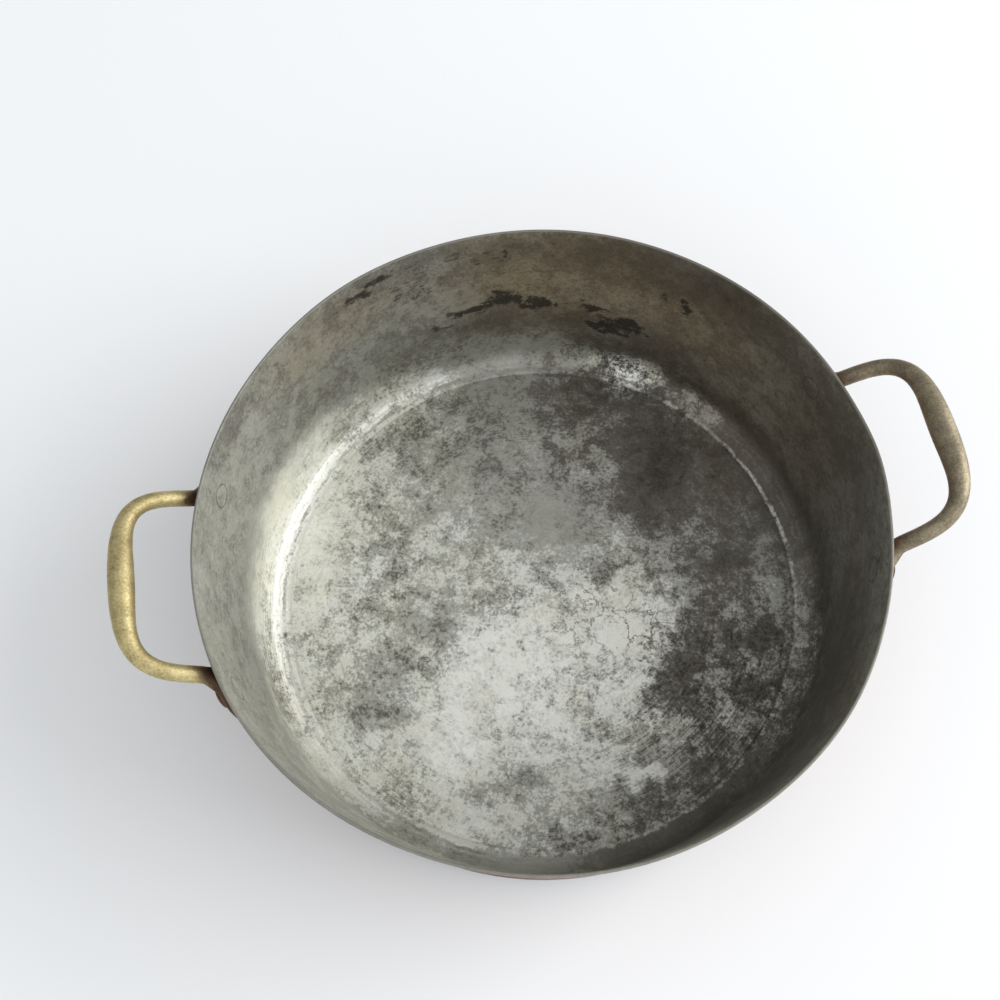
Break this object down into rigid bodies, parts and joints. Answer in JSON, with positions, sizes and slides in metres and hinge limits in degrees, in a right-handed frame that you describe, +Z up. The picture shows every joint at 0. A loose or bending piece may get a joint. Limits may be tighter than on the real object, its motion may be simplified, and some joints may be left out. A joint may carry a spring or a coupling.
{
  "type": "stew pot",
  "caption": "Round shallow stew pot with a nearly upright thin wall, a tight round corner at the floor and a square-cornered cast loop handle riveted on each side below the rim",
  "frame": {"origin": "centre of the flat underside, on the surface that the pot stands on", "axes": "+X points at the right handle and -X at the left one, +Y points away from the side the picture was taken from, +Z points up"},
  "size_m": [0.3402, 0.28, 0.1093],
  "materials": {
    "lined_copper": "copper sheet lined with tin: inside and rim worn, mottled grey tin with dark stains; outside brown oxidised copper",
    "cast_brass": "cast brass, aged to a dull olive gold, dark brown at the roots",
    "copper_rivet": "copper rivet, tinned over inside the pot, brown oxide on the outer dome"
  },
  "bodies": {
    "root": {"pot_body": "lined_copper", "right_handle": "cast_brass", "left_handle": "cast_brass", "right_rear_rivet": "copper_rivet", "right_front_rivet": "copper_rivet", "left_rear_rivet": "copper_rivet", "left_front_rivet": "copper_rivet"}
  },
  "joints": []
}
